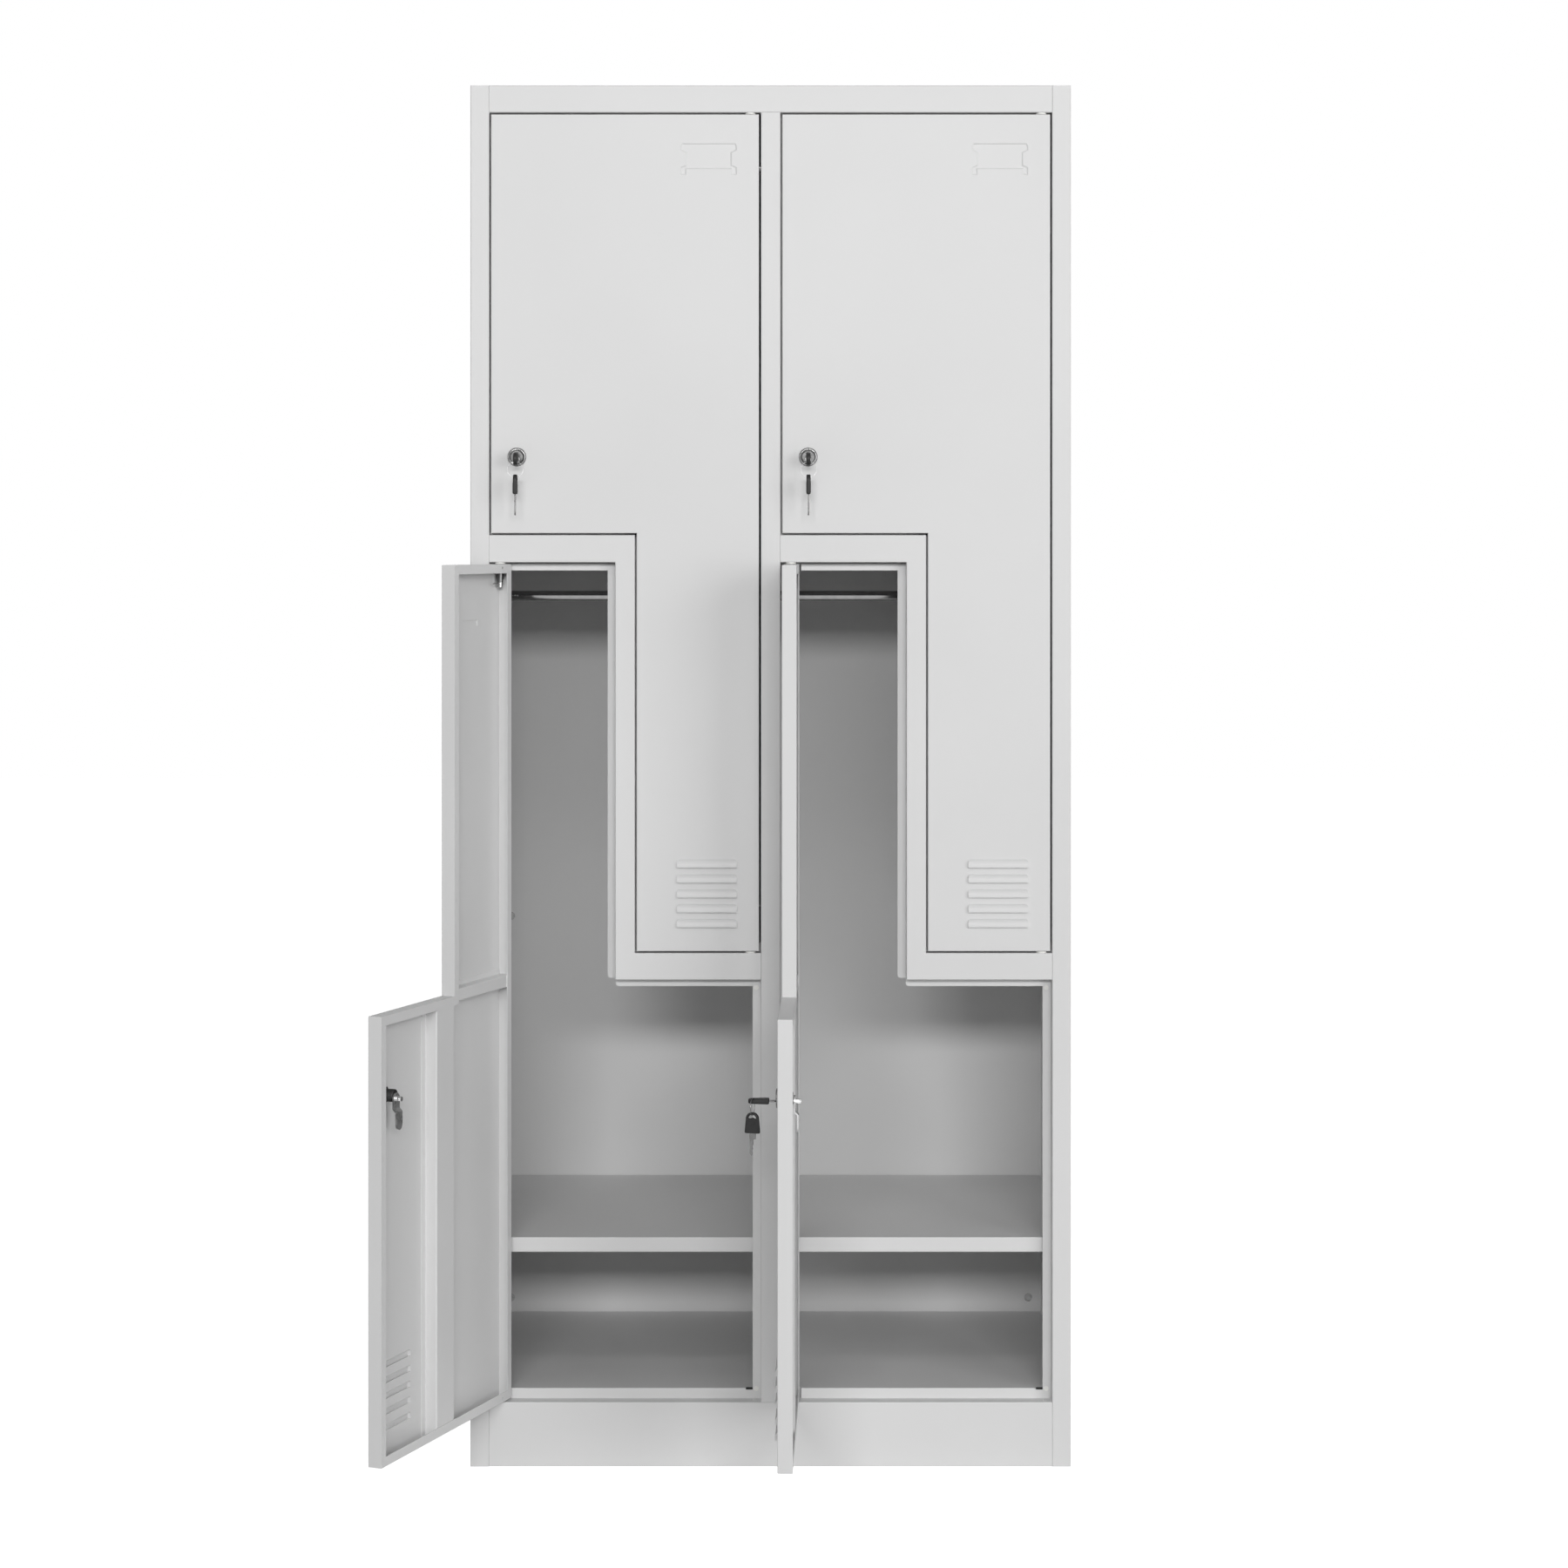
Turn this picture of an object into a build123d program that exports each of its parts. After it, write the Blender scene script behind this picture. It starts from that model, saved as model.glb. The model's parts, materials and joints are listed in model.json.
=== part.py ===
from build123d import *

import os

# Steel locker of two columns, each with two L-shaped doors that interlock as a Z.
# Millimetres. X runs across the front, Y from the front to the back, Z up from the floor.

# Overall size
WIDTH = 800.0
DEPTH = 450.0
HEIGHT = 1840.0
FRONT = -DEPTH / 2

# Folded sheet
SHEET = 1.0
BEND = 1.6
REAR = DEPTH - SHEET
INSIDE = REAR - 2 * SHEET
REAR_FLANGE = 25.0

# Front frame, with the column's own widths measured from its left edge
SIDE_POST = 25.0
CENTRE_POST = 26.0
HEADER = 36.0
KICK = 86.0
COLUMN = (WIDTH - 2 * SIDE_POST - CENTRE_POST) / 2
NARROW = 168.0
MULLION = COLUMN - 2 * NARROW
LOWER_RAIL = (648.5, 684.0)
UPPER_RAIL = (1204.7, 1241.0)
DOOR_HEAD = HEIGHT - HEADER
COLUMN_X = {"left": SIDE_POST - WIDTH / 2, "right": CENTRE_POST / 2}

# Stop flanges that the doors close against
RECESS = 20.0
STOP = 11.0
STOP_ROUND = 4.0
STOP_BACK = RECESS + SHEET
HINGE_NOTCH = 28.0
NOTCH_DEPTH = 26.0
SLOT = 2.6
SLOT_TAB = 3.0

# Doors
GAP = 2.5
DOOR_DEPTH = 19.0
LIP = 12.0
FRONT_ROUND = 1.2
OPEN_ANGLE = {"upper_left": 0.0, "upper_right": 0.0, "lower_left": 112.2, "lower_right": 92.0}

# Hinge pins and their nylon bushings
PIVOT_IN = GAP + 11.5
PIVOT_BACK = 8.0
PIN_R = 3.0
PIN_FIT = 0.05
BUSH_R = 5.0
BUSH_FLANGE_R = 7.0
BUSH_FLANGE = 2.0
BUSH_SLEEVE = 6.0
PIN_REACH = 6.5
PIN_DROP = 32.0
TAIL_DROP = 26.0
TAIL_ENDS = (-8.5, 20.0)
TAIL_R = 1.0
HOUSING_R = 3.9
HOUSING_DROP = 24.5
LIP_HOLE_IN = 27.6
LIP_HOLE_R = 2.0
LIP_HOLE_EDGE = 5.0

# Card frame pressed into each door, and the louvres
EDGE_MARGIN = 32.0
CARD_DROP = 38.5
CARD_HALF = 37.6
CARD_WAIST = 30.8
CARD_HEIGHT = 42.3
CARD_BASE = 34.6
CARD_DEPTH = 1.2
CARD_SLOPE = 1.8
LOUVRES = 5
LOUVRE_LENGTH = 80.0
LOUVRE_HEIGHT = 11.0
LOUVRE_PITCH = 19.8
LOUVRE_OUT = 4.0
LOUVRE_RISE = 37.7
LOUVRE_SILL = 1.6

# Stiffeners inside each door
STIFF_DEPTH = 16.0
STIFF_WEB = 46.0
STIFF_FOOT = 11.0
BRACE_HEIGHT = 14.0
BRACE_FOOT = 8.0

# Lock, with its plug set below the bezel's centre
LOCK_IN = 37.0
LOCK_Z = {"upper": 1345.0, "lower": 543.5}
BEZEL_R = 12.5
BEZEL_OUT = 2.6
BARREL_R = 8.0
BARREL_BACK = 19.0
BARREL_FIT = 0.05
PLUG_DROP = 3.4
PLUG_R = 4.0
NUT_FLATS = 19.0
NUT_THICK = 5.0
CAM_LONG = 38.5
CAM_R = 7.6
CAM_THICK = 2.0
CAM_CRANK = 4.0
SPINDLE_R = 3.0
SPINDLE_OUT = 7.0

# Keys, in every lock but the lower left one
KEYED = ("upper_left", "upper_right", "lower_right")
BOW_LONG = 26.0
BOW_HALF = 9.5
BOW_THICK = 6.0
KEY_OUT = 37.0
BLADE_LONG = 28.0
BLADE_HALF = 3.4
BLADE_THICK = 1.8
RIM = 3.0
SLOT_R = 5.2
RING_R = 10.5
RING_WIRE = 1.2
RING_REACH = 6.2
RING_DROP = 6.6
RING_YAW = -12.0
RING_OFFSET = 1.5

# Inside
SHELF_Z = 300.0
SHELF_LIP = 20.0
SHELF_FRONT = 26.0
FLOOR_Z = 99.5
LEDGE_HOLE_R = 1.6
SUPPORT = (40.0, 12.0)
RAIL_R = 7.0
RAIL_Y = 0.0
RAIL_DROP = 48.7
CUP_R = 12.0
CUP_DEPTH = 10.0
BOLT_R = 4.5
BOLT_HEAD = 3.0
BOLT_HEIGHTS = (120.0, 681.0, 1240.0, 1720.0)
BUFFER_R = 3.2
BUFFER_THICK = 0.8
BUFFER_IN = 6.2
BUFFER_EDGE = 13.0
PAD = (9.1, 3.0, 0.7)
PAD_RISE = 1.2


def slab(face, near, far):
    """Fill a face drawn in the front plane, X across and Z up, between two depths behind that plane."""
    return extrude(Plane.XZ.offset(-FRONT - far) * face, far - near)


def plank(x0, x1, z0, z1, near, far):
    """Flat plate square to the axes, by its edges and its depths."""
    return slab(Pos((x0 + x1) / 2, (z0 + z1) / 2) * Rectangle(x1 - x0, z1 - z0), near, far)


def strip(points):
    """Section of a sheet folded along a line of points, with its thickness on the right of the line."""
    points = [Vector(*point) for point in points]
    headings = [(b - a).normalized() for a, b in zip(points, points[1:])]
    rights = [Vector(heading.Y, -heading.X) for heading in headings]
    shifted = [points[0] + rights[0] * SHEET]
    for corner, before, after in zip(points[1:-1], rights, rights[1:]):
        shifted.append(corner + (before + after) * (SHEET / (1 + before.dot(after))))
    shifted.append(points[-1] + rights[-1] * SHEET)
    turns = [a.X * b.Y - a.Y * b.X for a, b in zip(headings, headings[1:])]
    near = [BEND if turn < 0 else BEND - SHEET for turn in turns]
    far = [BEND - SHEET if turn < 0 else BEND for turn in turns]
    sides = FilletPolyline(*points, radius=near).edges() + FilletPolyline(*shifted, radius=far).edges()
    ends = [Line(points[0], shifted[0]).edge(), Line(points[-1], shifted[-1]).edge()]
    return make_face([*sides, *ends])


def across(section, x0, x1):
    """Run a section drawn in Y and Z along the width."""
    return extrude(Plane.YZ.offset(x0) * section, x1 - x0)


def rod(x, z, r, near, far):
    """Round bar square to the front plane."""
    return slab(Pos(x, z) * Circle(r), near, far)


def post(x, y, r, z0, z1):
    """Upright round bar."""
    return Pos(x, y, z0) * extrude(Circle(r), z1 - z0)


def stop(x0, x1, z0, z1, free_corner=None):
    """Flange that a door closes against, rounded at the corner that it leaves free."""
    face = Pos((x0 + x1) / 2, (z0 + z1) / 2) * Rectangle(x1 - x0, z1 - z0)
    if free_corner:
        face = fillet(face.vertices().sort_by_distance(Vector(*free_corner))[0], STOP_ROUND)
    return slab(face, RECESS, STOP_BACK)


def inner_edges(column):
    """Faces of the walls on each side of a column, behind the posts."""
    wall = WIDTH / 2 - SHEET
    web = SHEET / 2
    return (-wall, -web) if column == "left" else (web, wall)


# Carcass


def side_panel(side):
    """Wall with its front post and rear flange folded from one sheet."""
    inner, outer = WIDTH / 2 - SIDE_POST, WIDTH / 2
    back = FRONT + REAR
    section = [
        (-inner, FRONT + STOP_BACK),
        (-inner, FRONT),
        (-outer, FRONT),
        (-outer, back),
        (REAR_FLANGE - outer, back),
    ]
    panel = extrude(strip(section), HEIGHT)
    return panel if side == "left" else mirror(panel, Plane.YZ)


def stop_strips():
    """Upright strips on the posts that the doors close against at their lock side."""
    strips = []
    for x in COLUMN_X.values():
        strips.append(stop(x, x + STOP, UPPER_RAIL[1], DOOR_HEAD))
        strips.append(stop(x + COLUMN - STOP, x + COLUMN, KICK, LOWER_RAIL[0] - SLOT))
    return strips


def centre_partition():
    """Post between the columns with the sheet that parts them and its rear flange."""
    half = CENTRE_POST / 2
    channel = [(half, FRONT + STOP_BACK), (half, FRONT), (-half, FRONT), (-half, FRONT + STOP_BACK)]
    partition = Pos(0, 0, KICK) * extrude(strip(channel), DOOR_HEAD - KICK)
    web = [(-SHEET / 2, FRONT), (-SHEET / 2, FRONT + REAR), (REAR_FLANGE, FRONT + REAR)]
    sheet = Pos(0, 0, FLOOR_Z) * extrude(strip(web), HEIGHT - SHEET - FLOOR_Z)
    sheet -= plank(-WIDTH, WIDTH, 0, HEIGHT, -SHEET, SHEET / 2)
    sheet -= plank(-WIDTH, WIDTH, DOOR_HEAD, HEIGHT, -SHEET, STOP_BACK + SHEET)
    sheet -= plank(-WIDTH, WIDTH, HEIGHT - REAR_FLANGE, HEIGHT, INSIDE, DEPTH)
    return partition + sheet


def top_panel():
    """Top sheet with the header folded down at the front and a flange at the back."""
    inner, wall = WIDTH / 2 - SIDE_POST, WIDTH / 2 - SHEET
    back = FRONT + REAR
    header = [
        (FRONT + STOP_BACK, DOOR_HEAD),
        (FRONT, DOOR_HEAD),
        (FRONT, HEIGHT),
        (back, HEIGHT),
        (back, HEIGHT - REAR_FLANGE),
    ]
    panel = across(strip(header), -inner, inner)
    for x0, x1, cap0, cap1 in ((-wall, -inner, 0.7, -SHEET), (inner, wall, SHEET, -0.7)):
        panel += plank(x0, x1, HEIGHT - SHEET, HEIGHT, STOP_BACK, INSIDE)
        panel += plank(x0 + cap0, x1 + cap1, HEIGHT - SHEET, HEIGHT, SHEET + 0.7, STOP_BACK)
    for x in COLUMN_X.values():
        panel += stop(x + STOP, x + COLUMN - HINGE_NOTCH, DOOR_HEAD - STOP, DOOR_HEAD + SHEET)
        panel -= post(x + COLUMN - PIVOT_IN, FRONT + PIVOT_BACK, BUSH_R, DOOR_HEAD - 5, DOOR_HEAD + 5)
    return panel


def base_panel():
    """Kick board folded back at its top, and the floor behind it with a lip for each lower door."""
    inner, wall = WIDTH / 2 - SIDE_POST, WIDTH / 2 - SHEET
    back = FRONT + INSIDE
    kick = [(FRONT + 15, 0), (FRONT, 0), (FRONT, KICK), (FRONT + STOP_BACK, KICK)]
    panel = across(strip(kick), -inner, inner)
    rear = [(FRONT + NOTCH_DEPTH, FLOOR_Z), (back, FLOOR_Z), (back, FLOOR_Z - REAR_FLANGE)]
    panel += across(strip(rear), -wall, wall)
    panel += plank(-wall, wall, KICK - SHEET, KICK, STOP_BACK, NOTCH_DEPTH)
    panel += plank(-wall, wall, KICK - SHEET, FLOOR_Z, NOTCH_DEPTH, NOTCH_DEPTH + SHEET)
    for x in COLUMN_X.values():
        lip = [
            (FRONT + RECESS, KICK - SHEET / 2),
            (FRONT + RECESS, FLOOR_Z),
            (FRONT + NOTCH_DEPTH + SHEET, FLOOR_Z),
        ]
        panel += across(strip(lip), x + HINGE_NOTCH, x + COLUMN - STOP)
        panel -= post(x + PIVOT_IN, FRONT + PIVOT_BACK, BUSH_R, KICK - 5, KICK + 5)
        panel -= post(x + COLUMN - 10, FRONT + PIVOT_BACK, LEDGE_HOLE_R, KICK - 5, KICK + 5)
    return panel


def base_support():
    """Channel under the middle of the floor that stands on the ground."""
    half, foot = SUPPORT[0] / 2, SUPPORT[1]
    top = FLOOR_Z - SHEET
    section = [(-half - foot, top), (-half, top), (-half, SHEET), (half, SHEET), (half, top), (half + foot, top)]
    return slab(strip(section), NOTCH_DEPTH + 5, REAR - 10)


def back_panel(side):
    """Flat sheet closing the back of one column."""
    sign = -1 if side == "left" else 1
    ends = sorted((0, sign * WIDTH / 2))
    return plank(*ends, 10, HEIGHT, REAR, DEPTH)


def z_outline(x, inset):
    """Outline of the Z-shaped front frame, drawn in along its edges and run on past both its ends."""
    left, right = x + NARROW + inset, x + NARROW + MULLION - inset
    start, end = x - inset, x + COLUMN + inset
    points = [
        (start, UPPER_RAIL[1] - inset),
        (right, UPPER_RAIL[1] - inset),
        (right, LOWER_RAIL[1] - inset),
        (end, LOWER_RAIL[1] - inset),
        (end, LOWER_RAIL[0] + inset),
        (left, LOWER_RAIL[0] + inset),
        (left, UPPER_RAIL[0] + inset),
        (start, UPPER_RAIL[0] + inset),
    ]
    return make_face(Polyline(*points, close=True))


def z_frame(column):
    """Front frame between the two doors of a column: its face, its returns and the stops on both sides.

    The stops below the two rails hang a slot's height under the returns.
    """
    x = COLUMN_X[column]
    frame = slab(z_outline(x, 0), 0, STOP_BACK)
    rim = frame.faces().sort_by(Axis.Y)[0].edges()
    sides = [edge for edge in rim if abs(edge.center().X - x - COLUMN / 2) < COLUMN / 2 - 1]
    frame = fillet(sides, FRONT_ROUND)
    frame -= slab(z_outline(x, SHEET), SHEET, STOP_BACK)
    left, right = x + NARROW, x + NARROW + MULLION
    low, high = LOWER_RAIL, UPPER_RAIL
    frame += stop(x + HINGE_NOTCH, left, high[0] - STOP, high[0] + SHEET)
    frame += stop(left - STOP, left + SHEET, low[0], high[0], (left - STOP, low[0]))
    frame += stop(left, x + COLUMN - STOP, low[0] - STOP, low[0] + SHEET, (left, low[0] - STOP))
    frame += stop(x + STOP, right, high[1] - SHEET, high[1] + STOP, (right, high[1] + STOP))
    frame += stop(right - SHEET, right + STOP, low[1], high[1], (right + STOP, high[1]))
    frame += stop(right, x + COLUMN - HINGE_NOTCH, low[1] - SHEET, low[1] + STOP)
    frame -= plank(x, left, high[0] - SLOT, high[0], RECESS - 1, STOP_BACK + 1)
    frame -= plank(left + SLOT_TAB, x + COLUMN, low[0] - SLOT, low[0], RECESS - 1, STOP_BACK + 1)
    pivot_y = FRONT + PIVOT_BACK
    frame -= post(x + PIVOT_IN, pivot_y, BUSH_R, high[0] - 5, high[0] + 5)
    frame -= post(x + COLUMN - PIVOT_IN, pivot_y, BUSH_R, low[1] - 5, low[1] + 5)
    return frame


def divider(column):
    """Sheet folded as a Z behind the front frame: upper floor, upright wall and lower ceiling."""
    x = COLUMN_X[column]
    start, end = inner_edges(column)
    wall = x + NARROW + MULLION / 2 + SHEET / 2
    upper, lower = UPPER_RAIL[1] + STOP, LOWER_RAIL[1] + STOP
    fold = [(start, upper - STOP), (start, upper), (wall, upper), (wall, lower), (end, lower), (end, lower - STOP)]
    sheet = slab(strip(fold), STOP_BACK, INSIDE)
    return sheet - plank(x + COLUMN - HINGE_NOTCH, end + 1, lower - 2 * STOP, lower + 1, 0, NOTCH_DEPTH)


def shelf(column):
    """Shelf of the lower compartment, folded down at the front and the back."""
    front, back = FRONT + SHELF_FRONT, FRONT + INSIDE
    low = SHELF_Z - SHELF_LIP
    section = [(front + 10, low), (front, low), (front, SHELF_Z), (back, SHELF_Z), (back, low)]
    return across(strip(section), *inner_edges(column))


def rail_spans():
    """Ends and height of each hanging rail: one across each upper and each lower compartment."""
    spans = []
    for column, x in COLUMN_X.items():
        start, end = inner_edges(column)
        wall = x + NARROW + MULLION / 2 - SHEET / 2
        spans.append((start, end, DOOR_HEAD - RAIL_DROP))
        spans.append((start, wall, UPPER_RAIL[0] - RAIL_DROP))
    return spans


def hanging_rails():
    """Tubes to hang clothes on, one in each compartment."""
    tube = Circle(RAIL_R) - Circle(RAIL_R - SHEET)
    return [Pos(0, RAIL_Y, z) * across(tube, x0 + SHEET, x1 - SHEET) for x0, x1, z in rail_spans()]


def rail_cups():
    """Flanged cups on the walls, each holding one end of a rail."""
    cups = []
    for x0, x1, z in rail_spans():
        for x, step in ((x0, 1), (x1, -1)):
            plate = across(Circle(CUP_R), *sorted((x, x + step * SHEET)))
            collar = Circle(RAIL_R + 1.5) - Circle(RAIL_R + 0.1)
            ring = across(collar, *sorted((x + step * SHEET, x + step * CUP_DEPTH)))
            cups.append(Pos(0, RAIL_Y, z) * (plate + ring))
    return cups


def hinge_bushings():
    """Flanged nylon sleeves in the frame, one above and one below each door."""
    bore = PIN_R + PIN_FIT
    profile = [
        (bore, -BUSH_FLANGE),
        (BUSH_FLANGE_R, -BUSH_FLANGE),
        (BUSH_FLANGE_R, 0),
        (BUSH_R, 0),
        (BUSH_R, BUSH_SLEEVE),
        (bore, BUSH_SLEEVE),
    ]
    above = revolve(Plane.XZ * make_face(Polyline(*profile, close=True)), Axis.Z)
    below = Rot(180, 0, 0) * above
    y = FRONT + PIVOT_BACK
    bushings = []
    for x in COLUMN_X.values():
        lower_x, upper_x = x + PIVOT_IN, x + COLUMN - PIVOT_IN
        bushings += [Pos(lower_x, y, UPPER_RAIL[0]) * above, Pos(lower_x, y, KICK) * below]
        bushings += [Pos(upper_x, y, DOOR_HEAD) * above, Pos(upper_x, y, LOWER_RAIL[1]) * below]
    return bushings


def door_buffers():
    """Round nylon buttons on the stop strips, near the ends of each door's lock side."""
    spots = []
    for x in COLUMN_X.values():
        upper_x, lower_x = x + BUFFER_IN, x + COLUMN - BUFFER_IN
        spots += [(upper_x, UPPER_RAIL[1] + BUFFER_EDGE), (upper_x, DOOR_HEAD - BUFFER_EDGE)]
        spots += [(lower_x, KICK + BUFFER_EDGE), (lower_x, LOWER_RAIL[0] - BUFFER_EDGE)]
    return [rod(x, z, BUFFER_R, RECESS - BUFFER_THICK, RECESS) for x, z in spots]


def lip_pads():
    """Rubber pads on the upper edges of the lips below the doors, at their lock side."""
    wide, high, thick = PAD
    pads = []
    for x in COLUMN_X.values():
        for x0, edge in ((x + COLUMN - STOP - wide, FLOOR_Z), (x + STOP, UPPER_RAIL[1] + STOP)):
            pads.append(plank(x0, x0 + wide, edge + PAD_RISE - high, edge + PAD_RISE, RECESS - thick, RECESS))
    return pads


def back_bolts():
    """Bolt heads that hold the rear flanges to the back."""
    near = REAR - SHEET - BOLT_HEAD
    edge = WIDTH / 2 - REAR_FLANGE + BOLT_R + 1
    head = RegularPolygon(BOLT_R, 6)
    spots = [(x, z) for x in (-edge, edge) for z in BOLT_HEIGHTS]
    return [slab(Pos(x, z) * head, near, near + BOLT_HEAD) for x, z in spots]


# Doors, each modelled closed


def door_face(door, inset):
    """Front outline of a door, drawn in from its edge."""
    x, tier = COLUMN_X[door.column], door.tier
    end, step = x + COLUMN, x + NARROW
    if tier == "upper":
        turn, bottom, shoulder = x + COLUMN - NARROW, LOWER_RAIL[1], UPPER_RAIL[1]
        points = [(x, DOOR_HEAD), (end, DOOR_HEAD), (end, bottom), (turn, bottom), (turn, shoulder), (x, shoulder)]
    else:
        top, shoulder = UPPER_RAIL[0], LOWER_RAIL[0]
        points = [(x, KICK), (end, KICK), (end, shoulder), (step, shoulder), (step, top), (x, top)]
    face = make_face(Polyline(*points, close=True))
    return offset(face, amount=-(GAP + inset), kind=Kind.INTERSECTION)


class Door:
    """Places of one door. Its own X runs from the hinge side of its opening to the lock side."""

    def __init__(self, tier, column):
        self.tier, self.column = tier, column
        self.name = f"{tier}_{column}"
        upper = tier == "upper"
        self.mirrored = upper
        self.edge = COLUMN_X[column] + (COLUMN if upper else 0)
        self.bottom = (LOWER_RAIL[1] if upper else KICK) + GAP
        self.top = (DOOR_HEAD if upper else UPPER_RAIL[0]) - GAP
        self.shoulder = UPPER_RAIL[1] + GAP if upper else LOWER_RAIL[0] - GAP
        self.lock_z = LOCK_Z[tier]
        self.opened = -OPEN_ANGLE[self.name]

    def swing(self, solid):
        """Turn a closed door's piece about its hinge pins to the door's open angle."""
        x = self.edge - PIVOT_IN if self.mirrored else self.edge + PIVOT_IN
        y = FRONT + PIVOT_BACK
        return Pos(x, y, 0) * Rot(0, 0, self.opened) * Pos(-x, -y, 0) * solid

    def place(self, solid):
        """Move a piece from the door's own X to its opening, then swing it."""
        if self.mirrored:
            solid = mirror(solid, Plane.YZ)
        return self.swing(Pos(self.edge, 0, 0) * solid)


def hood(out, top, near):
    """Section through a louvre in Y and Z, bulging out from the door's face."""
    low = -LOUVRE_HEIGHT / 2
    bulge = ThreePointArc((near, top), (-0.68 * out, top * 0.35), (-out, low + 1.5))
    lip = Polyline((-out, low + 1.5), (-out, low), (near, low), (near, top))
    return make_face([*bulge.edges(), *lip.edges()])


def round_topped(length, top, r):
    """Louvre as seen from the front, square below and rounded above."""
    low = -LOUVRE_HEIGHT / 2
    face = Pos(0, (low + top) / 2) * Rectangle(length, top - low)
    return fillet(face.vertices().group_by(Axis.Y)[-1], r)


def louvre():
    """Pressed hood of one louvre and the hollow under it, about the louvre's centre."""
    top = LOUVRE_HEIGHT / 2
    half = LOUVRE_LENGTH / 2
    shell = across(hood(LOUVRE_OUT, top, 0), -half, half)
    shell &= extrude(Plane.XZ.offset(-5) * round_topped(LOUVRE_LENGTH, top, 4.5), 20)
    hollow = across(hood(LOUVRE_OUT - SHEET, top - SHEET, SHEET), SHEET - half, half - SHEET)
    hollow &= extrude(Plane.XZ.offset(-5) * round_topped(LOUVRE_LENGTH - 2 * SHEET, top - SHEET, 3.5), 20)
    hollow -= Pos(0, SHEET, (LOUVRE_SILL - LOUVRE_HEIGHT) / 2) * Box(LOUVRE_LENGTH, 2 * SHEET, LOUVRE_SILL)
    return shell, hollow


def card_outline():
    """Pressed frame for a name card: eared at the top, waisted, with a foot at each lower corner."""
    right = [
        (CARD_HALF - 1.8, 0),
        (CARD_HALF, -4),
        (CARD_HALF, -9.5),
        (CARD_WAIST, -13),
        (CARD_WAIST, -29),
        (CARD_HALF, -32),
        (CARD_HALF, -CARD_HEIGHT),
        (CARD_WAIST - 1, -CARD_HEIGHT),
        (CARD_WAIST - 1, -CARD_BASE),
    ]
    left = [(-x, z) for x, z in reversed(right)]
    return make_face(Polyline(*right, *left, close=True))


def door_panel(door):
    """Door of one sheet: face, returns, inner lips, louvres, card frame, holes and lower hinge pin."""
    panel = slab(door_face(door, 0), 0, DOOR_DEPTH)
    panel = fillet(panel.faces().sort_by(Axis.Y)[0].edges(), FRONT_ROUND)
    panel -= slab(door_face(door, SHEET), SHEET, DOOR_DEPTH - SHEET)
    panel -= slab(door_face(door, LIP), DOOR_DEPTH - 2 * SHEET, DOOR_DEPTH + 1)

    x = COLUMN_X[door.column]
    card_x = x + (COLUMN if door.tier == "upper" else NARROW) - EDGE_MARGIN - CARD_HALF
    card = Pos(card_x, door.top - CARD_DROP) * card_outline()
    panel += slab(card, SHEET / 2, SHEET + CARD_DEPTH)
    field = offset(card, amount=-CARD_SLOPE, kind=Kind.INTERSECTION)
    panel -= loft([Plane.XZ.offset(-FRONT) * card, Plane.XZ.offset(-FRONT - CARD_DEPTH) * field], ruled=True)

    shell, hollow = louvre()
    first = Vector(x + COLUMN - EDGE_MARGIN - LOUVRE_LENGTH / 2, FRONT, door.bottom + LOUVRE_RISE)
    spots = [Pos(first + Vector(0, 0, i * LOUVRE_PITCH)) for i in range(LOUVRES)]
    panel += [spot * shell for spot in spots]
    panel -= [spot * hollow for spot in spots]

    lock_x = door.edge + (LOCK_IN - COLUMN if door.mirrored else COLUMN - LOCK_IN)
    panel -= rod(lock_x, door.lock_z, BARREL_R + BARREL_FIT, -1, 2 * SHEET)
    pivot_x = door.edge + (-PIVOT_IN if door.mirrored else PIVOT_IN)
    pivot_y = FRONT + PIVOT_BACK
    panel -= post(pivot_x, pivot_y, PIN_R + 2 * PIN_FIT, door.top - 5, door.top + 1)
    panel += post(pivot_x, pivot_y, PIN_R, door.bottom - PIN_REACH, door.bottom + SHEET)
    hole_x = door.edge + (-LIP_HOLE_IN if door.mirrored else LIP_HOLE_IN)
    for z in (door.bottom + LIP_HOLE_EDGE, door.top - LIP_HOLE_EDGE):
        panel -= rod(hole_x, z, LIP_HOLE_R, DOOR_DEPTH - 2 * SHEET, DOOR_DEPTH + 1)
    return door.swing(panel)


def stiffeners(door):
    """Upright hat section in the wide part, and a brace across the narrow part at the shoulder."""
    start, near, far = NARROW - GAP, FRONT + SHEET, FRONT + SHEET + STIFF_DEPTH
    hat = [
        (start + STIFF_WEB + STIFF_FOOT, near),
        (start + STIFF_WEB, near),
        (start + STIFF_WEB, far),
        (start, far),
        (start, near),
        (start - STIFF_FOOT, near),
    ]
    if door.tier == "upper":
        low, high = door.shoulder + SHEET, door.top - SHEET
    else:
        low, high = door.bottom + SHEET, door.shoulder - SHEET
    upright = Pos(0, 0, low) * extrude(strip(hat), high - low)
    z0, z1 = door.shoulder - BRACE_HEIGHT / 2, door.shoulder + BRACE_HEIGHT / 2
    brace = [
        (near, z0 - BRACE_FOOT),
        (near, z0),
        (far, z0),
        (far, z1),
        (near, z1),
        (near, z1 + BRACE_FOOT),
    ]
    bar = across(strip(brace), GAP + SHEET, start - STIFF_FOOT)
    return [door.place(upright), door.place(bar)]


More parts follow.
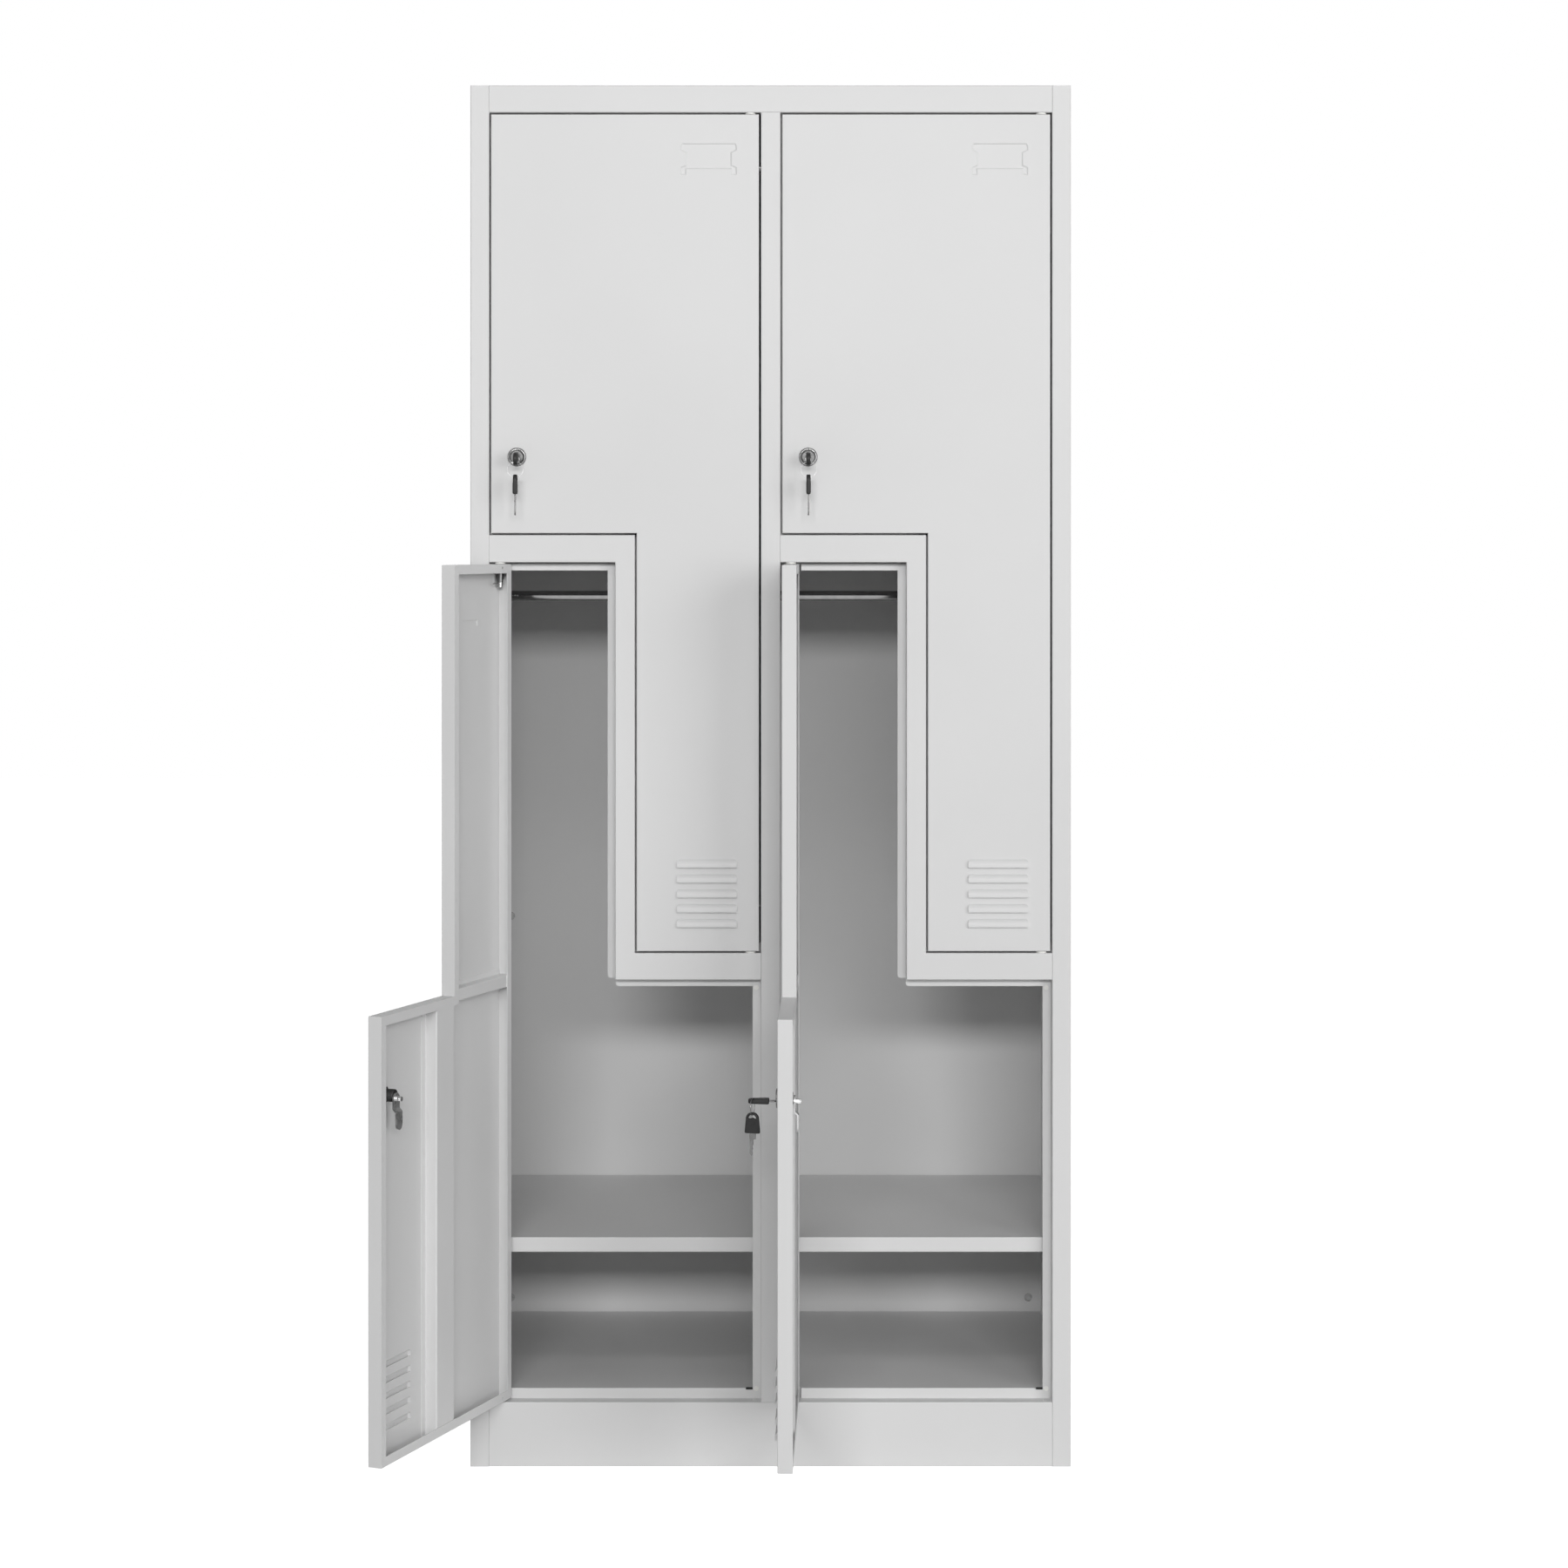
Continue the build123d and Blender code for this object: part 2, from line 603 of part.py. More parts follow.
def pin_bracket(door):
    """Tube inside the upper hinge corner that guides the sprung pin, with the fin that holds it."""
    y = FRONT + PIVOT_BACK
    ring = Circle(HOUSING_R) - Circle(PIN_R + 2 * PIN_FIT)
    tube = Pos(PIVOT_IN, y, door.top - HOUSING_DROP) * extrude(ring, HOUSING_DROP - SHEET)
    edge = PIVOT_IN - HOUSING_R + SHEET / 2
    low, high = door.top - 20, door.top - 4
    return door.place(tube + plank(GAP + SHEET, edge, low, high, PIVOT_BACK - SHEET / 2, PIVOT_BACK + SHEET / 2))


def spring_pin(door):
    """Upper hinge pin, and the tail that draws it down to free the door."""
    y = FRONT + PIVOT_BACK
    pin = post(PIVOT_IN, y, PIN_R, door.top - PIN_DROP, door.top + PIN_REACH)
    pin = chamfer(pin.faces().sort_by(Axis.Z)[-1].edges(), 1)
    pin = chamfer(pin.faces().sort_by(Axis.Z)[0].edges(), 1.4)
    pin += Pos(PIVOT_IN, y, door.top - TAIL_DROP) * across(Circle(TAIL_R), *TAIL_ENDS)
    return door.place(pin)


# Locks and keys, about the plug's centre at the door's front face


def lock_spot(door):
    """Centre of the bezel on the closed door's own X."""
    return Pos(COLUMN - LOCK_IN, 0, door.lock_z)


def lock_case(door):
    """Bezel and threaded barrel, bored off-centre for the plug."""
    bezel = rod(0, 0, BEZEL_R, -BEZEL_OUT, 0)
    bezel = chamfer(bezel.faces().sort_by(Axis.Y)[0].edges(), 1.2)
    case = bezel + rod(0, 0, BARREL_R, 0, BARREL_BACK)
    case -= rod(0, -PLUG_DROP, PLUG_R + PIN_FIT, -BEZEL_OUT - 1, BARREL_BACK + 1)
    return door.place(lock_spot(door) * case)


def lock_nut(door):
    """Hexagon nut that clamps the barrel to the door."""
    nut = RegularPolygon(NUT_FLATS / 2, 6, major_radius=False) - Circle(BARREL_R + BARREL_FIT)
    return door.place(lock_spot(door) * slab(nut, SHEET, SHEET + NUT_THICK))


def turned(solid, door):
    """Turn a key from upright to flat on the doors that the photograph shows unlocked."""
    return solid if door.tier == "upper" else Rot(0, 90, 0) * solid


def plug_spot(door):
    """Centre of the plug on the closed door's own X."""
    return lock_spot(door) * Pos(0, 0, -PLUG_DROP)


def lock_plug(door):
    """Plug with its keyway."""
    plug = rod(0, 0, PLUG_R, -BEZEL_OUT + 0.4, BARREL_BACK + 0.6)
    key_slot = plank(-BLADE_THICK / 2 - 0.1, BLADE_THICK / 2 + 0.1, -BLADE_HALF - 0.1, BLADE_HALF + 0.1, -9, 18)
    return door.place(plug_spot(door) * turned(plug - key_slot, door))


def lock_cam(door):
    """Cranked cam hanging from the plug's end, with the spindle that runs on behind it."""
    near = FRONT + BARREL_BACK + 0.6
    step = CAM_LONG / 3
    far = near + CAM_CRANK
    side = [
        (near, CAM_R),
        (near, -step),
        (far, -step - CAM_CRANK),
        (far, -CAM_LONG),
        (far + CAM_THICK, -CAM_LONG),
        (far + CAM_THICK, -step - CAM_CRANK + 0.8),
        (near + CAM_THICK, 0.8 - step),
        (near + CAM_THICK, CAM_R),
    ]
    cam = across(make_face(Polyline(*side, close=True)), -CAM_R, CAM_R)
    length = CAM_LONG + CAM_R
    outline = Pos(0, CAM_R - length / 2) * Rot(0, 0, 90) * SlotOverall(length, 2 * CAM_R)
    cam &= slab(outline, 0, 2 * DOOR_DEPTH)
    back = BARREL_BACK + 0.6 + CAM_THICK
    cam += rod(0, 0, SPINDLE_R, back, back + SPINDLE_OUT)
    return door.place(plug_spot(door) * cam)


def loose_key():
    """Key hanging by its bow: bow end at the origin, blade down, flat in Y and Z."""
    middle = -RIM - SLOT_R
    side = SLOT_R + RIM
    arch = ThreePointArc((side, middle), (0, 0), (-side, middle))
    skirt = Polyline(
        (-side, middle),
        (-BOW_HALF, 1 - BOW_LONG),
        (1 - BOW_HALF, -BOW_LONG),
        (BOW_HALF - 1, -BOW_LONG),
        (BOW_HALF, 1 - BOW_LONG),
        (side, middle),
    )
    bow = make_face([*arch.edges(), *skirt.edges()])
    slot = Pos(0, middle) * Circle(SLOT_R) - Pos(0, middle - SLOT_R) * Rectangle(20, 2 * SLOT_R)
    slot -= Pos(0, middle - 3) * Circle(3.5)
    head = across(bow - slot, -BOW_THICK / 2, BOW_THICK / 2)
    tip = -BOW_LONG - BLADE_LONG
    blade = [
        (-BLADE_HALF, -BOW_LONG),
        (-BLADE_HALF, tip + 3),
        (-0.8, tip),
        (0, tip + 3),
        (-0.6, tip + 6),
        (0.6, tip + 9),
        (-0.2, tip + 12),
        (1.1, tip + 15),
        (1.1, tip + 20.5),
        (BLADE_HALF + 0.8, tip + 21),
        (BLADE_HALF + 0.8, -BOW_LONG),
    ]
    return head + across(make_face(Polyline(*blade, close=True)), -BLADE_THICK / 2, BLADE_THICK / 2)


def key(door):
    """Key standing in the plug."""
    inserted = Pos(0, FRONT - KEY_OUT, 0) * Rot(90, 0, 0) * loose_key()
    return door.place(plug_spot(door) * turned(inserted, door))


def sag():
    """Height of the ring's inner edge, from the ring's centre, where a bow's faces cross it."""
    return ((RING_R - RING_WIRE / 2) ** 2 - (BOW_THICK / 2) ** 2) ** 0.5


def ring_spot(door):
    """Centre and turn of the ring as it hangs from the bow of the key in the plug."""
    slot_y = FRONT - KEY_OUT + RIM + SLOT_R
    if door.tier == "upper":
        rest = (SLOT_R**2 - 2.1**2) ** 0.5 - 0.1
        return Pos(0, slot_y - 1.5, -rest - sag())
    out = Vector(RING_REACH, 0, -RING_DROP).rotate(Axis.Z, RING_YAW)
    return Pos(0, slot_y - RING_OFFSET, 0) * Pos(out) * Rot(0, 0, RING_YAW)


def key_ring(door):
    """Wire ring, eight-sided in section, through the bow of the key in the plug."""
    wire = Pos(RING_R, 0) * RegularPolygon(RING_WIRE / 2, 8)
    ring = revolve(wire, Axis.Y)
    return door.place(plug_spot(door) * ring_spot(door) * ring)


def spare_key(door):
    """Second key, hanging on the ring."""
    hung = Pos(0, 0, RIM + 0.1 - sag()) * loose_key()
    return door.place(plug_spot(door) * ring_spot(door) * hung)


def write(name, shape):
    """Write one piece, or a group of like pieces, as its own file."""
    solids = shape if isinstance(shape, list) else [shape]
    solids = [solid for item in solids for solid in item.solids()]
    body = solids[0] if len(solids) == 1 else Compound(children=solids)
    export_step(body, f"parts/{name}.step")


def main():
    os.makedirs("parts", exist_ok=True)
    for side in COLUMN_X:
        write(f"side_panel_{side}", side_panel(side))
        write(f"back_panel_{side}", back_panel(side))
        write(f"z_frame_{side}", z_frame(side))
        write(f"divider_{side}", divider(side))
        write(f"shelf_{side}", shelf(side))
    write("top_panel", top_panel())
    write("base_panel", base_panel())
    write("base_support", base_support())
    write("centre_partition", centre_partition())
    write("hanging_rails", hanging_rails())
    write("rail_cups", rail_cups())
    write("hinge_bushings", hinge_bushings())
    write("stop_strips", stop_strips())
    write("door_buffers", door_buffers())
    write("lip_pads", lip_pads())
    write("back_bolts", back_bolts())
    for tier in ("upper", "lower"):
        for column in COLUMN_X:
            door = Door(tier, column)
            write(f"{door.name}_door", door_panel(door))
            write(f"{door.name}_stiffeners", stiffeners(door))
            write(f"{door.name}_pin_bracket", pin_bracket(door))
            write(f"{door.name}_spring_pin", spring_pin(door))
            write(f"{door.name}_lock_case", [lock_case(door), lock_nut(door)])
            write(f"{door.name}_lock_plug", lock_plug(door))
            write(f"{door.name}_lock_cam", lock_cam(door))
            if door.name in KEYED:
                write(f"{door.name}_key", key(door))
                write(f"{door.name}_key_ring", key_ring(door))
                write(f"{door.name}_spare_key", spare_key(door))


main()
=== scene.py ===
import json
import math

import bmesh
import bpy
from mathutils import Matrix, Vector


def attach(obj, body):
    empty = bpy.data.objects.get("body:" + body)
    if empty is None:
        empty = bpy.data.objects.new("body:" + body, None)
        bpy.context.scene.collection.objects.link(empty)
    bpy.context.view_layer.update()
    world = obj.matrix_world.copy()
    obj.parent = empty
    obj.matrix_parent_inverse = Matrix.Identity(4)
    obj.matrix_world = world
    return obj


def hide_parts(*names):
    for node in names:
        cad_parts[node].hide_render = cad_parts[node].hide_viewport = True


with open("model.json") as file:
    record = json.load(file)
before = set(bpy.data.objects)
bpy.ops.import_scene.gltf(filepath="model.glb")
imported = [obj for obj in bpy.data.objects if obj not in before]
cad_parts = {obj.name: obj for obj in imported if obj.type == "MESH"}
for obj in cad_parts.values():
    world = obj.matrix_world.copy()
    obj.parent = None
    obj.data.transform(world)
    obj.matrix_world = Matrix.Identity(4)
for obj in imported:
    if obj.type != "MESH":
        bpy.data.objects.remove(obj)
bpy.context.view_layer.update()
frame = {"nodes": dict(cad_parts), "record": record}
nodes = frame["nodes"]

# Places on the locker, in metres, as in the model

MM = 0.001
FRONT = -0.225
COLUMN = 0.362
COLUMN_X = {"left": -0.375, "right": 0.013}
PIVOT_IN = 0.014
PIVOT_BACK = 0.008
OPEN_ANGLE = {"upper_left": 0.0, "upper_right": 0.0, "lower_left": 112.2, "lower_right": 92.0}

LOCK_IN = 0.037
LOCK_Z = {"upper": 1.345, "lower": 0.5435}

# Sizes of the locks, keys and bolts, in millimetres

SHEET = 1.0
PLUG_DROP = 3.4
PLUG_R = 4.05
BEZEL_R = 12.5
BEZEL_OUT = 2.6
BARREL_R = 8.0
BARREL_BACK = 19.0
THREAD_PITCH = 1.0
THREAD_DEEP = 0.5
NUT_FLATS = 19.0
NUT_THICK = 5.0
NUT_ROUND = 0.5
FACE_FIT = 0.12
FACE_THICK = 0.7
FACE_DEEP = 1.3
END_THICK = 0.8
DISC_ROUND = 0.12
CAM_GAP = 0.6
CAM_THICK = 2.0
SPINDLE_R = 3.0
SPINDLE_OUT = 7.0
SPINDLE_SKIN = 0.08

KEYED = ("upper_left", "upper_right", "lower_right")
BOW_LONG = 26.0
BOW_HALF = 9.5
BOW_THICK = 6.0
BOW_ROUND = 1.3
FIELD_RISE = 0.25
FIELD_ROUND = 0.25
KEY_OUT = 37.0
BLADE_LONG = 28.0
BLADE_HALF = 3.4
BLADE_THICK = 1.8
BLADE_ROUND = 0.15
RIM = 3.0
SLOT_R = 5.2
RING_R = 10.5
RING_WIRE = 1.2
RING_TURNS = 2.0
RING_REACH = 6.2
RING_DROP = 6.6
RING_YAW = -12.0
RING_OFFSET = 1.5
RING_SEAT = 2.1
CLEAR = 0.1

HALF_WIDTH = 400
REAR_FLANGE = 25
BOLT_R = 4.5
BOLT_TALL = 2.2
BOLT_SEAT = 223
BOLT_HEIGHTS = (120, 681, 1240, 1720)
CROWN_SHARE = 0.25
CROWN_TAPER = 0.82
WASHER_R = 6.0
WASHER_THICK = 0.8

# Camera and floor, in metres, with the lens and sensor in millimetres

LENS = 73.94
SENSOR = 36.0
SHIFT = (0.0157, -0.1578)
EYE_X = -0.015
EYE_AHEAD = 4.29
EYE_Z = 1.239
FAR_CLIP = 60.0
FLOOR_SIDE = 12
FLOOR_NEAR = -9
FLOOR_FAR = 12
FLOOR_GAP = 0.0005


# Camera at the photograph's height and distance, level, looking along the depth


def add_camera():
    data = bpy.data.cameras.new("camera")
    data.lens = LENS
    data.sensor_width = SENSOR
    data.shift_x, data.shift_y = SHIFT
    data.clip_end = FAR_CLIP
    camera = bpy.data.objects.new("camera", data)
    camera.location = (EYE_X, FRONT - EYE_AHEAD, EYE_Z)
    camera.rotation_euler = (math.radians(90), 0, 0)
    bpy.context.scene.collection.objects.link(camera)
    bpy.context.scene.camera = camera


# Shader building

NOISE_LOW = 0.3
NOISE_HIGH = 0.7


class Shader:
    """A material or a node group, with short calls to add and join nodes."""

    def __init__(self, tree):
        self.tree = tree

    def add(self, kind, inputs=None, **settings):
        node = self.tree.nodes.new(kind)
        for key, value in settings.items():
            setattr(node, key, value)
        for key, value in (inputs or {}).items():
            self.feed(node.inputs[key], value)
        return node

    def feed(self, socket, value):
        if isinstance(value, bpy.types.NodeSocket):
            self.tree.links.new(value, socket)
        else:
            socket.default_value = value


def new_group(name, inputs, outputs):
    """Shader node group with named number inputs and named outputs."""
    tree = bpy.data.node_groups.new(name, "ShaderNodeTree")
    for label, value in inputs.items():
        socket = tree.interface.new_socket(label, in_out="INPUT", socket_type="NodeSocketFloat")
        socket.default_value = value
    for label in outputs:
        tree.interface.new_socket(label, in_out="OUTPUT", socket_type="NodeSocketFloat")
    shader = Shader(tree)
    return shader, shader.add("NodeGroupInput").outputs, shader.add("NodeGroupOutput").inputs


def coating_group():
    """Powder coat: the fine orange peel of the skin, and a slow drift of tone over a panel."""
    sizes = {"Peel size": 900.0, "Drift size": 2.2, "Speck size": 2600.0}
    shader, given, result = new_group("powder_coat", sizes, ["Peel", "Drift", "Speck"])
    place = shader.add("ShaderNodeTexCoord").outputs["Object"]
    peel = shader.add("ShaderNodeTexNoise", {"Vector": place, "Scale": given["Peel size"], "Detail": 2.0})
    drift = shader.add("ShaderNodeTexNoise", {"Vector": place, "Scale": given["Drift size"], "Detail": 3.0})
    speck = shader.add("ShaderNodeTexNoise", {"Vector": place, "Scale": given["Speck size"], "Detail": 1.0})
    shader.feed(result["Peel"], peel.outputs["Fac"])
    shader.feed(result["Drift"], drift.outputs["Fac"])
    shader.feed(result["Speck"], speck.outputs["Fac"])
    return shader.tree


def brushing_group():
    """Drawn and polished metal: fine streaks along one way, and soft smears of handling."""
    sizes = {"Across": 4000.0, "Along": 120.0, "Smear size": 90.0}
    shader, given, result = new_group("brushing", sizes, ["Streak", "Smear"])
    place = shader.add("ShaderNodeTexCoord").outputs["Object"]
    ways = {"X": given["Across"], "Y": given["Across"], "Z": given["Along"]}
    stretch = shader.add("ShaderNodeCombineXYZ", ways)
    drawn = shader.add("ShaderNodeVectorMath", {0: place, 1: stretch.outputs[0]}, operation="MULTIPLY")
    streak = shader.add("ShaderNodeTexNoise", {"Vector": drawn.outputs[0], "Scale": 1.0, "Detail": 3.0})
    smear = shader.add("ShaderNodeTexNoise", {"Vector": place, "Scale": given["Smear size"], "Detail": 4.0})
    shader.feed(result["Streak"], streak.outputs["Fac"])
    shader.feed(result["Smear"], smear.outputs["Fac"])
    return shader.tree


def moulding_group():
    """Moulded plastic and rubber: the spark grain of the mould, and a slow drift of sheen."""
    sizes = {"Grain size": 3200.0, "Sheen size": 160.0}
    shader, given, result = new_group("moulding", sizes, ["Grain", "Sheen"])
    place = shader.add("ShaderNodeTexCoord").outputs["Object"]
    grain = shader.add("ShaderNodeTexVoronoi", {"Vector": place, "Scale": given["Grain size"]})
    sheen = shader.add("ShaderNodeTexNoise", {"Vector": place, "Scale": given["Sheen size"], "Detail": 3.0})
    shader.feed(result["Grain"], grain.outputs["Distance"])
    shader.feed(result["Sheen"], sheen.outputs["Fac"])
    return shader.tree


GROUPS = {"coat": coating_group(), "brushed": brushing_group(), "moulded": moulding_group()}


def new_material(name, metallic=0.0):
    """Material with its Principled shader, ready for its patterns."""
    material = bpy.data.materials.new(name)
    material.use_nodes = True
    shader = Shader(material.node_tree)
    surface = material.node_tree.nodes["Principled BSDF"]
    surface.inputs["Metallic"].default_value = metallic
    return material, shader, surface.inputs


def between(shader, mask, low, high):
    """Number or grey that runs from low to high as a pattern does."""
    spread = shader.add("ShaderNodeMapRange", {"Value": mask, "From Min": NOISE_LOW, "From Max": NOISE_HIGH})
    spread.inputs["To Min"].default_value = low
    spread.inputs["To Max"].default_value = high
    return spread.outputs["Result"]


def tinted(shader, mask, low, high):
    """Colour that runs between two tones as a pattern does."""
    # A mix node has several sockets of one name, so its colour ones are taken by place
    mix = shader.add("ShaderNodeMix", data_type="RGBA", clamp_factor=True)
    shader.feed(mix.inputs[0], between(shader, mask, 0.0, 1.0))
    mix.inputs[6].default_value = (*low, 1.0)
    mix.inputs[7].default_value = (*high, 1.0)
    return mix.outputs[2]


def bumped(shader, height, strength, distance):
    """Normal raised by a pattern."""
    bump = shader.add("ShaderNodeBump", {"Height": height, "Strength": strength, "Distance": distance})
    return bump.outputs["Normal"]


def painted(name, low, high, rough):
    """Powder coated sheet."""
    material, shader, surface = new_material(name)
    coat = shader.add("ShaderNodeGroup", node_tree=GROUPS["coat"]).outputs
    shader.feed(surface["Base Color"], tinted(shader, coat["Drift"], low, high))
    shader.feed(surface["Roughness"], between(shader, coat["Speck"], *rough))
    shader.feed(surface["Normal"], bumped(shader, coat["Peel"], 0.12, 0.0002))
    surface["Specular IOR Level"].default_value = 0.4
    return material


def metal(name, low, high, rough, along=120.0, strength=0.08):
    """Bare or plated metal."""
    material, shader, surface = new_material(name, metallic=1.0)
    brushed = shader.add("ShaderNodeGroup", node_tree=GROUPS["brushed"])
    brushed.inputs["Along"].default_value = along
    shader.feed(surface["Base Color"], tinted(shader, brushed.outputs["Smear"], low, high))
    shader.feed(surface["Roughness"], between(shader, brushed.outputs["Smear"], *rough))
    shader.feed(surface["Normal"], bumped(shader, brushed.outputs["Streak"], strength, 0.0001))
    return material


def moulded(name, low, high, rough, grain=3200.0, strength=0.2):
    """Plastic or rubber from a mould."""
    material, shader, surface = new_material(name)
    skin = shader.add("ShaderNodeGroup", node_tree=GROUPS["moulded"])
    skin.inputs["Grain size"].default_value = grain
    shader.feed(surface["Base Color"], tinted(shader, skin.outputs["Sheen"], low, high))
    shader.feed(surface["Roughness"], between(shader, skin.outputs["Sheen"], *rough))
    shader.feed(surface["Normal"], bumped(shader, skin.outputs["Grain"], strength, 0.0001))
    surface["Specular IOR Level"].default_value = 0.3
    return material


def grey(value, blue=0.0):
    return (value, value, value + blue)


# Looks by name: one for each slot of the record, and three darker metals whose colour is painted dark
# reflection, for some fittings

MATERIALS = {
    "painted_steel": painted("painted_steel", grey(0.665), grey(0.70), (0.42, 0.52)),
    "bright_steel": metal("bright_steel", grey(0.42), grey(0.58), (0.22, 0.38)),
    # Steel with its colour darkened far below plated steel, a painted dark reflection for key blades, lock
    # faces, the lower ring and the pin brackets
    "steel_painted_dark_reflection": metal("steel_painted_dark_reflection", grey(0.12), grey(0.18), (0.22, 0.34)),
    "dark_steel": metal("dark_steel", grey(0.045), grey(0.075), (0.35, 0.5)),
    "chrome": metal("chrome", grey(0.62), grey(0.72), (0.08, 0.18), strength=0.02),
    # Chrome with its colour darkened, a painted dark reflection on the lock bezels
    "bezel_chrome_painted_dark_reflection": metal("bezel_chrome_painted_dark_reflection", grey(0.17), grey(0.24), (0.08, 0.18), strength=0.02),
    # Chrome with its colour darkened, a painted dark reflection on the hanging rails, so that only the lamp's
    # highlight shows white
    "rail_chrome_painted_dark_reflection": metal("rail_chrome_painted_dark_reflection", grey(0.22), grey(0.26), (0.08, 0.12), strength=0.02),
    "black_plastic": moulded("black_plastic", grey(0.006), grey(0.012), (0.4, 0.55)),
    "nylon": moulded("nylon", grey(0.78, -0.03), grey(0.84, -0.03), (0.35, 0.45), strength=0.05),
    "rubber": moulded("rubber", grey(0.01), grey(0.02), (0.7, 0.85), grain=1800.0),
}


def dress_nodes():
    """Give every node of the model the finish of its slot, or a darker metal with painted dark reflection for
    the hanging rails and pin brackets.
    """
    looks = {part["node"]: part["material_slot"] for part in frame["record"]["subparts"]}
    # The hanging rails take the darkened chrome: painted dark reflection
    looks["hanging_rails"] = "rail_chrome_painted_dark_reflection"
    for door in OPEN_ANGLE:
        # The pin brackets take the darkened steel: painted dark reflection
        looks[f"{door}_pin_bracket"] = "steel_painted_dark_reflection"
    for name, node in nodes.items():
        node.data.materials.clear()
        node.data.materials.append(MATERIALS[looks[name]])


# Meshes

SHARP_ANGLE = 32
WELD = 0.0005


def link(name, mesh, look):
    """Object for a finished mesh, with its look."""
    mesh.name = name
    piece = bpy.data.objects.new(name, mesh)
    bpy.context.scene.collection.objects.link(piece)
    mesh.materials.clear()
    mesh.materials.append(MATERIALS[look])
    return piece


def place_piece(piece, matrix, body, slot, *replaced):
    """Set a piece, made in millimetres about its own centre, in its place on a body. The record slot it is
    given is not used.
    """
    piece.data.transform(matrix @ Matrix.Scale(MM, 4))
    piece.data.shade_smooth()
    piece.data.set_sharp_from_angle(angle=math.radians(SHARP_ANGLE))
    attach(piece, body)
    if replaced:
        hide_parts(*replaced)
    return piece


def to_mesh(scratch):
    """Plain mesh of an object with its modifiers, in place of the object."""
    bpy.context.view_layer.update()
    graph = bpy.context.evaluated_depsgraph_get()
    mesh = bpy.data.meshes.new_from_object(scratch.evaluated_get(graph))
    data = scratch.data
    bpy.data.objects.remove(scratch)
    if isinstance(data, bpy.types.Curve):
        bpy.data.curves.remove(data)
    return mesh


def plate(name, outlines, thickness, rounding, look):
    """Flat piece with rounded edges, from closed outlines in its own X and Y."""
    curve = bpy.data.curves.new(name, "CURVE")
    curve.dimensions = "2D"
    curve.fill_mode = "BOTH"
    curve.extrude = thickness / 2 - rounding
    curve.bevel_depth = rounding
    curve.bevel_resolution = 3
    curve.offset = -rounding
    for outline in outlines:
        spline = curve.splines.new("POLY")
        spline.points.add(len(outline) - 1)
        for point, (x, y) in zip(spline.points, outline):
            point.co = (x, y, 0, 1)
        spline.use_cyclic_u = True
    scratch = bpy.data.objects.new(name, curve)
    bpy.context.scene.collection.objects.link(scratch)
    return link(name, to_mesh(scratch), look)


def arc(x, y, r, start, end, steps=24):
    """Points along an arc, with its angles in degrees."""
    angles = [math.radians(start + (end - start) * i / steps) for i in range(steps + 1)]
    return [(x + r * math.cos(a), y + r * math.sin(a)) for a in angles]


def lathe(name, profile, look, steps=64):
    """Turned piece about its own Y, from radii and places along the axis."""
    build = bmesh.new()
    line = [build.verts.new((r, y, 0)) for r, y in profile]
    edges = [build.edges.new(pair) for pair in zip(line, line[1:])]
    bmesh.ops.spin(
        build, geom=line + edges, axis=(0, 1, 0), cent=(0, 0, 0), steps=steps, angle=math.tau, use_merge=True
    )
    bmesh.ops.remove_doubles(build, verts=build.verts, dist=WELD)
    bmesh.ops.recalc_face_normals(build, faces=build.faces)
    mesh = bpy.data.meshes.new(name)
    build.to_mesh(mesh)
    build.free()
    return link(name, mesh, look)


# Geometry Nodes


def new_recipe(name, inputs):
    """Geometry node tree with named inputs."""
    tree = bpy.data.node_groups.new(name, "GeometryNodeTree")
    tree.interface.new_socket("Geometry", in_out="INPUT", socket_type="NodeSocketGeometry")
    tree.interface.new_socket("Geometry", in_out="OUTPUT", socket_type="NodeSocketGeometry")
    for label, (kind, value) in inputs.items():
        socket = tree.interface.new_socket(label, in_out="INPUT", socket_type=f"NodeSocket{kind}")
        if value is not None:
            socket.default_value = value
    recipe = Shader(tree)
    return recipe, recipe.add("NodeGroupInput").outputs


def close_recipe(recipe, geometry, material):
    """End a tree with its instances made real and its finish set."""
    real = recipe.add("GeometryNodeRealizeInstances", {"Geometry": geometry})
    finish = recipe.add("GeometryNodeSetMaterial", {"Geometry": real.outputs[0], "Material": material})
    end = recipe.add("NodeGroupOutput")
    recipe.feed(end.inputs["Geometry"], finish.outputs[0])
    return recipe.tree


def run_recipe(tree, name, points, look, **values):
    """Mesh that a tree makes on some points, with its inputs set."""
    mesh = bpy.data.meshes.new(name)
    mesh.from_pydata(points, [], [])
    scratch = bpy.data.objects.new(name, mesh)
    bpy.context.scene.collection.objects.link(scratch)
    modifier = scratch.modifiers.new(name, "NODES")
    modifier.node_group = tree
    sockets = {item.name: item.identifier for item in tree.interface.items_tree if item.in_out == "INPUT"}
    modifier[sockets["Finish"]] = MATERIALS[look]
    for label, value in values.items():
        modifier[sockets[label.capitalize()]] = value
    return link(name, to_mesh(scratch), look)


def ring_recipe():
    """Split ring: wire wound in close turns."""
    recipe, given = new_recipe(
        "split_ring",
        {
            "Radius": ("Float", RING_R),
            "Wire": ("Float", RING_WIRE / 4),
            "Turns": ("Float", RING_TURNS),
            "Width": ("Float", RING_WIRE / 2),
            "Finish": ("Material", None),
        },
    )
    spiral = recipe.add(
        "GeometryNodeCurveSpiral",
        {
            "Resolution": 72,
            "Rotations": given["Turns"],
            "Start Radius": given["Radius"],
            "End Radius": given["Radius"],
            "Height": given["Width"],
        },
    )
    wire = recipe.add("GeometryNodeCurvePrimitiveCircle", {"Resolution": 10, "Radius": given["Wire"]})
    sweep = {"Curve": spiral.outputs[0], "Profile Curve": wire.outputs[0], "Fill Caps": True}
    swept = recipe.add("GeometryNodeCurveToMesh", sweep)
    return close_recipe(recipe, swept.outputs[0], given["Finish"])


